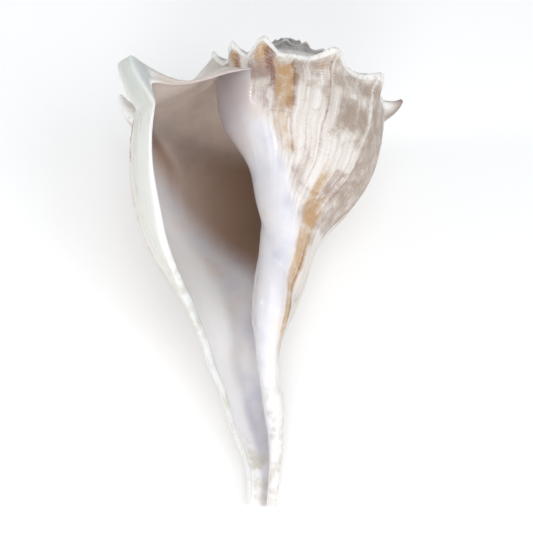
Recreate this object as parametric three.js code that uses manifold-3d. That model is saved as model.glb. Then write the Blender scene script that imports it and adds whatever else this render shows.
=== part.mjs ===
import * as THREE from 'three';
import ManifoldModule from 'manifold-3d';

// A lightning whelk shell, one grown piece, lying on its back with the aperture up.
// Sizes are millimetres. The shell grows round an axis from the apex: a whorl profile
// is carried round and enlarged at a steady rate, so every turn is the one before it
// made bigger. Azimuth runs from the front (0, the aperture side) over the right (90)
// and the back (180) to the left (270); depth is measured down the axis from the apex.

const SHELL_LENGTH = 180;
const GROWTH_PER_TURN = 2.1;
const PROFILE_AZIMUTH = 270;
const TURNS = 3.4;
const ROWS_PER_TURN = 60;
const CAVITY_ROWS = 48;
const LIP_AZIMUTH = 311;
const SUTURE_LAG = 24;
const BLEND_RADIUS = 2;
const TAIL_LENGTH = 8;
const FULL_TURN = 360;

// The whorl profile at true size, [radius, depth], from the suture over the ramp and
// the shoulder down the side. A station is a place in this list, counted from 0.
const WHORL_PROFILE = [
  [26.7, 18.8], [33, 23.4], [40, 28.6], [47.4, 33.4], [53.2, 37.4], [55.3, 42],
  [55.6, 48], [55.1, 56], [53.4, 67.5], [49.7, 80], [44.4, 91], [37.8, 100],
  [30.6, 109.5], [24.6, 119.5], [20.3, 131], [16.4, 142.5], [10.4, 155], [4, 166],
];
const FOOT_STATION = WHORL_PROFILE.length - 1;
const END_STATION = FOOT_STATION + 1;
const SHOULDER_STATION = 4.3;
const SUTURE_STATION = 4.6;

// The last part of the suture runs down the side of the whorl before, by so many
// stations, and the ramp above the opening sags with it. Both ease in over a turn angle.
const SUTURE_DROP = { stations: 1.5, spread: 4, angle: 45 };
const RAMP_SAG = { depth: 4.6, station: 3.6 };

// The columella and the canal, [depth, value].
const PILLAR_RADIUS = [
  [0, 2], [40, 4], [80, 5.7], [90, 6], [101, 7.5], [106, 7.6], [121, 5], [134, 3.9],
  [141, 3.9], [154, 2.8], [167, 2], [180, 1.7],
];
const CANAL_WALL_RADIUS = [
  [100, 10], [116, 20], [125, 22.5], [140, 19.3], [150, 17], [159, 14], [165, 11],
  [172, 9.3], [180, 8.8],
];
const AXIS_SWAY = [
  [0, 0], [40, 0], [70, -0.6], [105, -0.3], [121, -0.9], [134, 0.3], [141, 1.9],
  [154, 3.5], [160, 4.2], [180, 3.6],
];
const CANAL_OPENS = { from: 120, to: 275 };

// How deep the cavity reaches, [azimuth, depth], and the wall thickness, [depth, value].
const CAVITY_FLOOR = [
  [-420, 30], [-180, 53], [-90, 66], [0, 81], [60, 92], [120, 104], [140, 113],
  [160, 126], [180, 147], [200, 172], [206, 180],
];
const WALL_THICKNESS = [[0, 1.2], [30, 2.6], [110, 2.8], [140, 2], [180, 1.5]];
const LIP_THINNING = { share: 0.4, span: 24 };
const SPIRE_WALL_GROWTH = 1.6;
const SPINE_FOLD_SHARE = 0.3;
const GUTTER_CLEARANCE = 0.4;

// How far, in stations, a sheet bends to meet its neighbour: the ramp and the roof from
// the suture down, the closed floor and the shortened columns from a station to the end.
const RAMP_BEND = 2.5;
const ROOF_BEND = 3;
const FLOOR_BEND_FROM = 14;
const SHORTEN_FROM = 7;
const SLOPE_STEP = 0.01;

// The lip leans: ahead of the shoulder at the suture, behind it down the canal,
// [station, degrees].
const LIP_LEAN = [
  [0, SUTURE_LAG], [1, 15], [2.2, 7], [4, 0], [8, 0], [10, -3], [11.5, -10], [13, -20],
  [14.5, -28], [17, -32], [18, -32],
];

// The lower body is a little slimmer before the canal opens.
const WAIST = { station: 12.3, spread: 2, share: 0.09, from: 130, to: 260 };

// Shoulder spines of the last turn: azimuth, length, lift from the horizontal, reach
// behind and ahead in degrees, reach above and below in stations, blunt tip.
const LIP_SPINE = { at: 307, long: 20, lift: 32, behind: 20, ahead: 18, below: 1, blunt: 0.74 };
const BODY_SPINES = [
  { at: 258, long: 22, lift: 36, below: 1.6 }, { at: 232, long: 8, lift: 30 },
  { at: 205, long: 12.4, lift: 5 }, { at: 168, long: 16.4, lift: 5 },
  { at: 134, long: 8, lift: 30 }, { at: 101, long: 12, lift: 28, below: 1.1 },
  { at: 64, long: 5.5, lift: 40, below: 2.2 }, { at: 28, long: 6, lift: 45, below: 2.4 },
  { at: -16, long: 6.8, lift: 50 },
];
const BODY_REACH = { behind: 17, ahead: 13, above: 2, below: 2.6, blunt: 0.92 };
const SPIRE_SPINES = { from: -40, step: 27, long: 12.5, lift: 48, turns: 3 };
const SPIRE_REACH = { behind: 12, ahead: 10, above: 2, below: 1.6, blunt: 1 };
const SPINE_CURL = { start: -12, gain: 22 };
const SPINE_FULLNESS = 0.9;

// Columns of the surface, as stations of the profile.
const COLUMNS = [
  0, 1, 2, 3, 3.6, 4.1, SUTURE_STATION, 5.6, 6.5, 7.5, 8.5, 9.5, 10.3, 11, 11.7, 12.4,
  13.2, 14, 15, 16, FOOT_STATION, 17.2, 17.4, 17.6, 17.8, END_STATION,
];
const SUTURE_COLUMN = COLUMNS.indexOf(SUTURE_STATION);
const INNER_COLUMN = SUTURE_COLUMN + 1;
const LAST_COLUMN = COLUMNS.length - 1;

// At rest the shell lies on two back spines and the end of the canal. This is
// the upward direction then, in the frame of the shell, and the wear at the contacts.
const REST_UP = new THREE.Vector3(0.0566, 0.32, 0.9457).normalize();
const CONTACT_WEAR = 0.7;

const SHELL_COLOUR = '#d8ccc0';
const SHELL_ROUGHNESS = 0.42;

// A smooth curve through [x, y] pairs that never overshoots them.
function follow(points, x) {
  const last = points.length - 1;
  if (x <= points[0][0]) return points[0][1];
  if (x >= points[last][0]) return points[last][1];
  let k = 0;
  while (points[k + 1][0] < x) k += 1;
  const rise = (i) => (points[i + 1][1] - points[i][1]) / (points[i + 1][0] - points[i][0]);
  const slope = (i) => {
    if (i === 0) return rise(0);
    if (i === last) return rise(last - 1);
    const product = rise(i - 1) * rise(i);
    return product <= 0 ? 0 : (2 * product) / (rise(i - 1) + rise(i));
  };
  const span = points[k + 1][0] - points[k][0];
  const u = (x - points[k][0]) / span;
  const v = 1 - u;
  return (1 + 2 * u) * v * v * points[k][1] + u * v * v * span * slope(k)
    + u * u * (3 - 2 * u) * points[k + 1][1] - u * u * v * span * slope(k + 1);
}

const radiusCurve = WHORL_PROFILE.map(([radius], station) => [station, radius]);
const depthCurve = WHORL_PROFILE.map(([, depth], station) => [station, depth]);
radiusCurve[0][1] = follow(radiusCurve, SUTURE_STATION) / GROWTH_PER_TURN;
depthCurve[0][1] = follow(depthCurve, SUTURE_STATION) / GROWTH_PER_TURN;

const growth = (azimuth) => GROWTH_PER_TURN ** ((azimuth - PROFILE_AZIMUTH) / FULL_TURN);
const ease = (x, from, to) => THREE.MathUtils.smoothstep(x, from, to);
const share = (x, from, to) => THREE.MathUtils.clamp((x - from) / (to - from), 0, 1);

function softMax(a, b) {
  const h = THREE.MathUtils.clamp(0.5 + (0.5 * (a - b)) / BLEND_RADIUS, 0, 1);
  return b + (a - b) * h + BLEND_RADIUS * h * (1 - h);
}

// The smooth whorl without spines, as radius and depth, its columns ending at a depth.
function whorl(azimuth, station, endDepth) {
  const scale = growth(azimuth);
  const tail = Math.max(station - FOOT_STATION, 0);
  const footDepth = depthCurve[FOOT_STATION][1] * scale;
  const tailLength = TAIL_LENGTH * scale;
  const shortfall = endDepth - footDepth - tailLength;
  let depth = follow(depthCurve, station) * scale;
  depth += tail * Math.max(endDepth - footDepth, tailLength);
  depth += Math.min(shortfall, 0) * share(station, SHORTEN_FROM, END_STATION) ** 2;
  const slim = Math.exp(-(((station - WAIST.station) / WAIST.spread) ** 2));
  const waist = 1 - WAIST.share * slim * (1 - ease(azimuth, WAIST.from, WAIST.to));
  const body = follow(radiusCurve, station) * scale * waist * (1 - tail);
  const pillar = follow(PILLAR_RADIUS, depth);
  const wall = Math.max(follow(CANAL_WALL_RADIUS, depth), pillar);
  const canal = pillar + (wall - pillar) * ease(azimuth, CANAL_OPENS.from, CANAL_OPENS.to);
  return { radius: softMax(body, canal), depth };
}

function allSpines() {
  const spines = [{ ...BODY_REACH, ...LIP_SPINE }];
  BODY_SPINES.forEach((spine) => spines.push({ ...BODY_REACH, ...spine }));
  const lastAzimuth = SPIRE_SPINES.from - FULL_TURN * SPIRE_SPINES.turns;
  for (let at = SPIRE_SPINES.from; at > lastAzimuth; at -= SPIRE_SPINES.step) {
    const long = SPIRE_SPINES.long * growth(at);
    spines.push({ ...SPIRE_REACH, at, long, lift: SPIRE_SPINES.lift });
  }
  return spines;
}
const spines = allSpines();

// How far the spines push the surface outward and up.
function spinePush(azimuth, station, chosen = spines) {
  const push = { out: 0, up: 0 };
  chosen.forEach((spine) => {
    const turn = azimuth - spine.at;
    const along = station - SHOULDER_STATION;
    const across = turn / (turn > 0 ? spine.ahead : spine.behind);
    const down = along / (along > 0 ? spine.below : spine.above);
    const away = Math.hypot(across, down);
    if (away >= 1) return;
    const height = Math.min((1 - away) ** 2 * (1 + SPINE_FULLNESS * away), spine.blunt);
    const curl = SPINE_CURL.start + SPINE_CURL.gain * height;
    const lift = THREE.MathUtils.degToRad(spine.lift + curl);
    push.out += spine.long * height * Math.cos(lift);
    push.up += spine.long * height * Math.sin(lift);
  });
  return push;
}

function place(azimuth, radius, depth) {
  const angle = THREE.MathUtils.degToRad(azimuth);
  const sway = follow(AXIS_SWAY, depth);
  return new THREE.Vector3(radius * Math.sin(angle) + sway, -depth, radius * Math.cos(angle));
}

// A point of the outer face, moved down by the sag of the ramp.
function outerPoint(azimuth, station, sag) {
  const { radius, depth } = whorl(azimuth, station, SHELL_LENGTH);
  const push = spinePush(azimuth, station);
  return place(azimuth, radius + push.out, depth - push.up).setY(-(depth - push.up + sag));
}

// A point of the columella or of the whorl before, where the cavity covers it.
function coveredPoint(azimuth, station) {
  const floor = follow(CAVITY_FLOOR, azimuth + FULL_TURN);
  const { radius, depth } = whorl(azimuth, station, floor);
  return place(azimuth, radius, depth);
}

// A point of the inner face: the whorl moved inward by the wall, thinner at the lip.
function innerPoint(azimuth, station, behindLip, sag) {
  const floor = follow(CAVITY_FLOOR, azimuth);
  const here = whorl(azimuth, station, floor);
  const next = whorl(azimuth, station + SLOPE_STEP, floor);
  const back = whorl(azimuth, Math.max(station - SLOPE_STEP, 0), floor);
  const alongRadius = next.radius - back.radius;
  const alongDepth = next.depth - back.depth;
  const length = Math.hypot(alongRadius, alongDepth);
  const thin = LIP_THINNING.share + (1 - LIP_THINNING.share) * ease(behindLip, 0, LIP_THINNING.span);
  const young = Math.min(1, SPIRE_WALL_GROWTH * growth(azimuth));
  const wall = follow(WALL_THICKNESS, here.depth) * thin * young;
  const fold = spinePush(azimuth, station, [spines[0]]);
  const radius = here.radius - (wall * alongDepth) / length + SPINE_FOLD_SHARE * fold.out;
  const depth = here.depth + (wall * alongRadius) / length - SPINE_FOLD_SHARE * fold.up;
  const columella = follow(PILLAR_RADIUS, depth) + GUTTER_CLEARANCE;
  return place(azimuth, Math.max(radius, columella), depth).setY(-(depth + sag));
}

const points = [];
const triangles = [];

function addPoint(point) {
  points.push(point);
  return points.length - 1;
}

function addQuad(a, b, c, d) {
  [[a, b, c], [a, c, d]].forEach((corner) => {
    if (new Set(corner).size === 3) triangles.push(corner);
  });
}

function addFan(loop) {
  const centre = new THREE.Vector3();
  loop.forEach((index) => centre.add(points[index]));
  const middle = addPoint(centre.divideScalar(loop.length));
  loop.forEach((index, k) => triangles.push([index, loop[(k + 1) % loop.length], middle]));
}

const rowStep = FULL_TURN / ROWS_PER_TURN;
const lipRow = Math.round(TURNS * ROWS_PER_TURN);
const lagRows = Math.round(SUTURE_LAG / rowStep);
const turnBack = ROWS_PER_TURN - lagRows;
const frontRow = lipRow - turnBack;
const deepRow = lipRow - CAVITY_ROWS;
const cavityStart = deepRow - ROWS_PER_TURN;

function azimuthOf(row, column) {
  const lean = column === SUTURE_COLUMN ? 0 : follow(LIP_LEAN, COLUMNS[column]);
  return LIP_AZIMUTH - (lipRow - row) * rowStep + lean;
}

function stationOf(row, column) {
  const station = COLUMNS[column];
  const past = (row - frontRow) * rowStep;
  const drop = ease(past, -SUTURE_DROP.angle, 0) * (1 - ease(past, 0, SUTURE_DROP.angle));
  const above = (station / SUTURE_STATION) ** 2;
  const below = 1 - share(station, SUTURE_STATION, SUTURE_STATION + SUTURE_DROP.spread);
  return station + SUTURE_DROP.stations * drop * Math.min(above, below);
}

function sagOf(row, column) {
  const nearLip = ease((row - lipRow) * rowStep, -SUTURE_DROP.angle, 0);
  return RAMP_SAG.depth * nearLip * (1 - share(COLUMNS[column], 0, RAMP_SAG.station));
}

// Outer face: the whole last turn, the spire above the suture, the covered wall below.
// The ramp of each whorl bends to meet the whorl before.
const outer = [];
for (let row = 0; row <= lipRow; row += 1) {
  const face = COLUMNS.map((_, column) => (
    outerPoint(azimuthOf(row, column), stationOf(row, column), sagOf(row, column))
  ));
  const seat = row < turnBack ? -1 : outer[row - turnBack][SUTURE_COLUMN];
  const gap = seat < 0 ? new THREE.Vector3() : points[seat].clone().sub(face[0]);
  outer.push(COLUMNS.map((station, column) => {
    if (row < frontRow && column > SUTURE_COLUMN) {
      if (row < cavityStart) return -1;
      return addPoint(coveredPoint(azimuthOf(row, column), stationOf(row, column)));
    }
    if (column === 0 && seat >= 0) return seat;
    return addPoint(face[column].addScaledVector(gap, (1 - share(station, 0, RAMP_BEND)) ** 2));
  }));
}
for (let row = 0; row < lipRow; row += 1) {
  for (let column = 0; column < LAST_COLUMN; column += 1) {
    const spire = column < SUTURE_COLUMN;
    const covered = column > SUTURE_COLUMN && row >= cavityStart;
    if (spire || covered || row >= frontRow) {
      const [here, next] = [outer[row], outer[row + 1]];
      addQuad(here[column], here[column + 1], next[column + 1], next[column]);
    }
  }
}

// Inner face: hung from the whorl before, closed on the columella above the canal.
const openRow = deepRow + 1 + [...Array(CAVITY_ROWS).keys()].findIndex(
  (k) => follow(CAVITY_FLOOR, azimuthOf(deepRow + k, LAST_COLUMN)) >= SHELL_LENGTH,
);
const inner = [];
for (let row = deepRow; row <= lipRow; row += 1) {
  const above = outer[row - turnBack][INNER_COLUMN];
  const below = outer[row - ROWS_PER_TURN][LAST_COLUMN];
  const behindLip = (lipRow - row) * rowStep;
  const face = COLUMNS.map((_, column) => (
    innerPoint(azimuthOf(row, column), stationOf(row, column), behindLip, sagOf(row, column))
  ));
  const topGap = points[above].clone().sub(face[0]);
  const endGap = points[below].clone().sub(face[LAST_COLUMN]);
  inner.push(face.map((point, column) => {
    if (column === 0) return above;
    if (column === LAST_COLUMN && row < openRow) return below;
    const closing = row < openRow ? share(COLUMNS[column], FLOOR_BEND_FROM, END_STATION) ** 2 : 0;
    point.addScaledVector(topGap, (1 - share(COLUMNS[column], 0, ROOF_BEND)) ** 2);
    return addPoint(point.addScaledVector(endGap, closing));
  }));
}
for (let k = 0; k < CAVITY_ROWS; k += 1) {
  for (let column = 0; column < LAST_COLUMN; column += 1) {
    addQuad(inner[k][column], inner[k + 1][column], inner[k + 1][column + 1], inner[k][column + 1]);
  }
}

// The lip joins the two faces; fans close the deep end of the cavity and the apex.
const lipInside = inner[CAVITY_ROWS];
for (let column = 0; column < LAST_COLUMN; column += 1) {
  addQuad(outer[lipRow][column], outer[lipRow][column + 1], lipInside[column + 1], lipInside[column]);
}
addFan([
  ...inner[0],
  ...outer[cavityStart].slice(INNER_COLUMN, LAST_COLUMN).reverse(),
  ...outer.slice(cavityStart + 1, deepRow - turnBack).map((row) => row[INNER_COLUMN]),
]);
const firstTurn = outer.slice(0, turnBack + 1).map((row) => row[0]);
addFan([...firstTurn, ...outer[0].slice(1, SUTURE_COLUMN).reverse()]);

// The cut end of the canal.
const endRing = [
  ...outer.slice(frontRow).map((row) => row[LAST_COLUMN]),
  ...inner.slice(openRow - deepRow).map((row) => row[LAST_COLUMN]).reverse(),
  ...outer.slice(openRow - 1 - ROWS_PER_TURN, frontRow).map((row) => row[LAST_COLUMN]),
];
const endOutline = endRing.map((index) => new THREE.Vector2(points[index].x, points[index].z));
THREE.ShapeUtils.triangulateShape(endOutline, []).forEach(([a, b, c]) => {
  triangles.push([endRing[a], endRing[b], endRing[c]]);
});

// Lay the shell down, wear the contact spots flat and centre it over the ground.
const layDown = new THREE.Quaternion().setFromUnitVectors(REST_UP, new THREE.Vector3(0, 0, 1));
const box = new THREE.Box3();
points.forEach((point) => box.expandByPoint(point.applyQuaternion(layDown)));

const { Manifold, Mesh } = await ManifoldModule().then((module) => {
  module.setup();
  return module;
});
const grown = new Manifold(new Mesh({
  numProp: 3,
  vertProperties: new Float32Array(points.flatMap((point) => point.toArray())),
  triVerts: new Uint32Array(triangles.flat()),
}));
const worn = grown.trimByPlane([0, 0, 1], box.min.z + CONTACT_WEAR).getMesh();

const geometry = new THREE.BufferGeometry();
geometry.setAttribute('position', new THREE.BufferAttribute(new Float32Array(worn.vertProperties), 3));
geometry.setIndex([...worn.triVerts]);
geometry.computeBoundingBox();
const middle = geometry.boundingBox.getCenter(new THREE.Vector3());
geometry.translate(-middle.x, -middle.y, -geometry.boundingBox.min.z);
geometry.computeVertexNormals();

const material = new THREE.MeshStandardMaterial({
  color: SHELL_COLOUR, roughness: SHELL_ROUGHNESS, metalness: 0,
});
const shell = new THREE.Mesh(geometry, material);
shell.name = 'shell';

const group = new THREE.Group();
group.name = 'lightning_whelk_shell';
group.add(shell);

export default group;
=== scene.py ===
# %% [markdown]
# # A lightning whelk shell
# A sea snail builds its shell at the lip, a little every day, and every turn is the turn
# before it made bigger. So one rule makes the whole shell: a whorl profile is carried round
# an axis and enlarged at a steady rate. This lesson builds that rule in Geometry Nodes,
# closes the sheets it gives into one solid shell, and paints it as lime that was laid down
# in layers: dull and chalky outside, glazed like porcelain round the opening.

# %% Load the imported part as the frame
import math

import bpy
import numpy as np
from mathutils import Matrix, Vector
from mathutils.geometry import tessellate_polygon


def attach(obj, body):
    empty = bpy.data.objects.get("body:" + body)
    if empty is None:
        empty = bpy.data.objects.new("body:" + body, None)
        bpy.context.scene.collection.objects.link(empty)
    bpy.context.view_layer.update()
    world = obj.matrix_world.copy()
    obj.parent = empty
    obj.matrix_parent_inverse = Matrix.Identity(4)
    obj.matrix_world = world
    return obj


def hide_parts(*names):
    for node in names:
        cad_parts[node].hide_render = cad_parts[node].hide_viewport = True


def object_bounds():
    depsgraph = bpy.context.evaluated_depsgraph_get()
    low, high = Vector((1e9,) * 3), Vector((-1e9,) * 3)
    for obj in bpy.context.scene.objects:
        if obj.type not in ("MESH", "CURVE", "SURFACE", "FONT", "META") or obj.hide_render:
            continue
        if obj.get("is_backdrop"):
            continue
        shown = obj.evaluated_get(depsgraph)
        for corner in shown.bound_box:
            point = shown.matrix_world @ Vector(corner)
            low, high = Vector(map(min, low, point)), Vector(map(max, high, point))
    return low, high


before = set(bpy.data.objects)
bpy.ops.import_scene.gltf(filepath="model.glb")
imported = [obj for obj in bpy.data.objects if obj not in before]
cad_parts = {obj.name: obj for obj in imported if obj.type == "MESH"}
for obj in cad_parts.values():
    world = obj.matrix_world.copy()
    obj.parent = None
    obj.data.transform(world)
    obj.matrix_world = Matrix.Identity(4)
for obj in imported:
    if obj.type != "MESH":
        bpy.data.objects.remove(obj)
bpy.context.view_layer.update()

MM = 0.001

# %% [markdown]
# ## How the shell lies and where the camera stands
# The shell is described upright, in millimetres: X to the right, Y up the axis with the apex
# at the origin, Z towards the viewer. It lies on two spines of its back and on the end of the
# canal, so the upright frame is turned once and moved once to get to the frame of the part.
# The camera was fitted in the upright frame: it looks at the opening from a little above.

# %% From the upright shell to the part
# REST_UP is the direction on the upright shell that points up once it lies on its back, and
# APEX_AT is the place of its apex in the frame of the part.
REST_UP = np.array([0.0566, 0.32, 0.9457])
APEX_AT = np.array([8.476, 85.948, 61.889])


def turn_onto_z(direction):
    """The shortest turn that brings a direction onto +Z, as a 3x3 matrix."""
    d = direction / np.linalg.norm(direction)
    axis = np.cross(d, [0.0, 0.0, 1.0])
    k = np.array([[0, -axis[2], axis[1]], [axis[2], 0, -axis[0]], [-axis[1], axis[0], 0]])
    return np.eye(3) + k + k @ k / (1.0 + d[2])


LAY_DOWN = turn_onto_z(REST_UP)
print("the apex of the upright shell lands at", APEX_AT, "mm")

# %% The camera
# CAMERA_PLACE is measured from the apex along the camera's own axes, in millimetres.
PHOTO_SIZE = 533
FOCAL_PIXELS = 1000.0
SENSOR_WIDTH = 36.0
NEAREST_SEEN = 0.01
CAMERA_PITCH = math.radians(12.5)
CAMERA_ROLL = math.radians(3.45)
CAMERA_PLACE = np.array([-8.64, -90.52, 392.7])

pitch = np.array([
    [1, 0, 0],
    [0, math.cos(CAMERA_PITCH), math.sin(CAMERA_PITCH)],
    [0, -math.sin(CAMERA_PITCH), math.cos(CAMERA_PITCH)],
])
roll = np.array([
    [math.cos(CAMERA_ROLL), math.sin(CAMERA_ROLL), 0],
    [-math.sin(CAMERA_ROLL), math.cos(CAMERA_ROLL), 0],
    [0, 0, 1],
])
view_axes = roll @ pitch
camera_pose = np.eye(4)
camera_pose[:3, :3] = LAY_DOWN @ view_axes.T
camera_pose[:3, 3] = (LAY_DOWN @ (view_axes.T @ CAMERA_PLACE) + APEX_AT) * MM

camera_data = bpy.data.cameras.new("camera")
camera_data.sensor_width = SENSOR_WIDTH
camera_data.lens = SENSOR_WIDTH * FOCAL_PIXELS / PHOTO_SIZE
camera_data.clip_start = NEAREST_SEEN
camera = bpy.data.objects.new("camera", camera_data)
bpy.context.collection.objects.link(camera)
camera.matrix_world = Matrix(camera_pose.tolist())
bpy.context.scene.camera = camera
print("camera at", [round(v, 3) for v in camera_pose[:3, 3]], "m, lens", round(camera_data.lens, 1))

# %% [markdown]
# ## The whorl profile and the columella
# Cut across, the outside of a whorl runs from the suture over a sloping ramp to the shoulder,
# and from there down the side into the long canal. A station is a place in this list of
# radius and depth. Inside, the whorls wind round a pillar, the columella, and the lowest part
# is an open gutter that bends a little. These are given as depth and radius, or depth and
# sideways shift. They are the real sizes, in millimetres, that drive everything below.

# %% Sizes of the last whorl
SHELL_LENGTH = 180.0
GROWTH_PER_TURN = 2.1
PROFILE_AZIMUTH = 270.0
WHORL_PROFILE = [
    (26.7, 18.8), (33, 23.4), (40, 28.6), (47.4, 33.4), (53.2, 37.4), (55.3, 42), (55.6, 48),
    (55.1, 56), (53.4, 67.5), (49.7, 80), (44.4, 91), (37.8, 100), (30.6, 109.5), (24.6, 119.5),
    (20.3, 131), (16.4, 142.5), (10.4, 155), (4, 166),
]
FOOT, END, SHOULDER, SUTURE = 17.0, 18.0, 4.3, 4.6
PILLAR_RADIUS = [
    (0, 2), (40, 4), (80, 5.7), (90, 6), (101, 7.5), (106, 7.6), (121, 5), (134, 3.9),
    (141, 3.9), (154, 2.8), (167, 2), (180, 1.7),
]
CANAL_WALL_RADIUS = [
    (0, 10), (100, 10), (116, 20), (125, 22.5), (140, 19.3), (150, 17), (159, 14), (165, 11),
    (172, 9.3), (180, 8.8),
]
AXIS_SWAY = [
    (0, 0), (40, 0), (70, -0.6), (105, -0.3), (121, -0.9), (134, 0.3), (141, 1.9), (154, 3.5),
    (160, 4.2), (180, 3.6),
]


def follow(points, x):
    """A smooth curve through the points that never overshoots them."""
    px, py = np.array(points, float).T
    rise = np.diff(py) / np.diff(px)
    before, after = rise[:-1], rise[1:]
    both = np.where(before + after == 0, 1, before + after)
    inner_slope = np.where(before * after > 0, 2 * before * after / both, 0)
    slope = np.concatenate([[rise[0]], inner_slope, [rise[-1]]])
    x = np.clip(x, px[0], px[-1])
    k = np.clip(np.searchsorted(px, x) - 1, 0, len(px) - 2)
    span = px[k + 1] - px[k]
    u = (x - px[k]) / span
    v = 1 - u
    return ((1 + 2 * u) * v * v * py[k] + u * v * v * span * slope[k]
            + u * u * (3 - 2 * u) * py[k + 1] - u * u * v * span * slope[k + 1])


radius_curve = [(station, radius) for station, (radius, _) in enumerate(WHORL_PROFILE)]
depth_curve = [(station, depth) for station, (_, depth) in enumerate(WHORL_PROFILE)]
radius_curve[0] = (0, float(follow(radius_curve, SUTURE)) / GROWTH_PER_TURN)
depth_curve[0] = (0, float(follow(depth_curve, SUTURE)) / GROWTH_PER_TURN)
print("the suture starts at radius", round(radius_curve[0][1], 1), "depth", round(depth_curve[0][1], 1))


# %% [markdown]
# ## One function for nodes
# A node tree can be wired by hand in the editor, but a script can be read and changed line by
# line. Every node below is made by one small function: it adds a node, sets its options, fills
# a curve or a colour ramp, and links or sets its inputs. Colours are written as on a screen,
# in sRGB, and another function makes them linear, because light adds up in linear values.

# %% Adding a node
def linear(colour):
    """An sRGB hex colour as the linear values that nodes work in."""
    parts = [int(colour[i:i + 2], 16) / 255 for i in (1, 3, 5)]
    return [p / 12.92 if p <= 0.04045 else ((p + 0.055) / 1.055) ** 2.4 for p in parts] + [1.0]


def add(tree, kind, links=None, points=None, **settings):
    """Adds a node with its settings, its curve or ramp points, and its links or input values."""
    made = tree.nodes.new(kind)
    for name, value in settings.items():
        setattr(made, name, value)
    if points and kind == "ShaderNodeValToRGB":
        while len(made.color_ramp.elements) < len(points):
            made.color_ramp.elements.new(1.0)
        for element, (place, colour) in zip(made.color_ramp.elements, points):
            element.position, element.color = place, linear(colour)
    elif points:
        curve = made.mapping.curves[0]
        while len(curve.points) < len(points):
            curve.points.new(1.0, 1.0)
        for spot, (x, y) in zip(curve.points, points):
            spot.location, spot.handle_type = (x, y), "AUTO_CLAMPED"
        made.mapping.update()
    for key, value in (links or {}).items():
        if isinstance(value, bpy.types.Node):
            tree.links.new(next(o for o in value.outputs if o.enabled), made.inputs[key])
        elif isinstance(value, bpy.types.NodeSocket):
            tree.links.new(value, made.inputs[key])
        else:
            made.inputs[key].default_value = value
    return made


print("mid grey in linear light:", round(linear("#808080")[0], 3))

# %% [markdown]
# ## The growth rule as a node tree
# A spiral could be swept with a curve and a changing profile, but a sweep keeps no record of
# where on the shell a point lies. Here the tree takes a flat grid whose points only know their
# azimuth round the axis and their station on the profile. It looks up the profile in two
# curves, enlarges it by the growth of that azimuth, blends it into the columella or the canal
# wall, pushes the shoulder out where a spine grew, and places the point. A second step moves
# the point along its own normal by its relief, which gives ridges outside and the wall's
# thickness inside.

# %% Inputs of the growth tree
lime = bpy.data.materials.new("chalky and glazed aragonite")
growth_tree = bpy.data.node_groups.new("growth rule", "GeometryNodeTree")
growth_tree.interface.new_socket("Geometry", in_out="OUTPUT", socket_type="NodeSocketGeometry")
growth_tree.interface.new_socket("Geometry", in_out="INPUT", socket_type="NodeSocketGeometry")
SIZES = {
    "Growth per turn": GROWTH_PER_TURN, "Profile azimuth": PROFILE_AZIMUTH,
    "Tail length": 8.0, "Blend radius": 3.0, "Waist": 0.09, "Spine size": 1.0,
    "Spine above": 2.0,
}
for name, value in SIZES.items():
    socket = growth_tree.interface.new_socket(name, in_out="INPUT", socket_type="NodeSocketFloat")
    socket.default_value = value
growth_tree.interface.new_socket("Material", in_out="INPUT", socket_type="NodeSocketMaterial")
size_in = add(growth_tree, "NodeGroupInput").outputs
azimuth, station, end_depth, relief, spine_below, spine_blunt = [
    add(growth_tree, "GeometryNodeInputNamedAttribute", {"Name": name}, data_type="FLOAT")
    for name in ("azimuth", "station", "end_depth", "relief", "spine_below", "spine_blunt")
]
print("inputs:", [item.name for item in growth_tree.interface.items_tree])

# %% Growth and depth
# The curve nodes hold values from 0 to 1, so radii and depths are divided by a largest value.
# Where a whorl has no room for its full depth, the stations after PULL_FROM are drawn up.
MATH = "ShaderNodeMath"
RADIUS_TOP, DEPTH_TOP = 60.0, 200.0
PULL_FROM, PULL_POWER = 7.0, 2.0
turns = add(growth_tree, MATH, {0: azimuth, 1: size_in["Profile azimuth"]}, operation="SUBTRACT")
turns = add(growth_tree, MATH, {0: turns, 1: 360.0}, operation="DIVIDE")
scale = add(growth_tree, MATH, {0: size_in["Growth per turn"], 1: turns}, operation="POWER")

along = add(growth_tree, MATH, {0: station, 1: FOOT}, operation="DIVIDE", use_clamp=True)
unit_radius = add(growth_tree, "ShaderNodeFloatCurve", {"Value": along},
                  [(k / FOOT, radius / RADIUS_TOP) for k, radius in radius_curve])
unit_depth = add(growth_tree, "ShaderNodeFloatCurve", {"Value": along},
                 [(k / FOOT, depth / DEPTH_TOP) for k, depth in depth_curve])
tail = add(growth_tree, MATH, {0: station, 1: FOOT}, operation="SUBTRACT", use_clamp=True)

true_scale = add(growth_tree, MATH, {0: scale, 1: DEPTH_TOP}, operation="MULTIPLY")
whorl_depth = add(growth_tree, MATH, {0: unit_depth, 1: true_scale}, operation="MULTIPLY")
foot_depth = add(growth_tree, MATH, {0: scale, 1: depth_curve[-1][1]}, operation="MULTIPLY")
tail_length = add(growth_tree, MATH, {0: scale, 1: size_in["Tail length"]}, operation="MULTIPLY")
room = add(growth_tree, MATH, {0: end_depth, 1: foot_depth}, operation="SUBTRACT")
stretch = add(growth_tree, MATH, {0: room, 1: tail_length}, operation="MAXIMUM")
stretched = add(growth_tree, MATH, {0: stretch, 1: tail, 2: whorl_depth}, operation="MULTIPLY_ADD")
shortfall = add(growth_tree, MATH, {0: room, 1: stretch}, operation="SUBTRACT")
low = add(growth_tree, "ShaderNodeMapRange", {0: station, 1: PULL_FROM, 2: END, 3: 0.0, 4: 1.0})
pull = add(growth_tree, MATH, {0: low, 1: PULL_POWER}, operation="POWER")
depth = add(growth_tree, MATH, {0: shortfall, 1: pull, 2: stretched}, operation="MULTIPLY_ADD")
print("nodes so far:", len(growth_tree.nodes))

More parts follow.
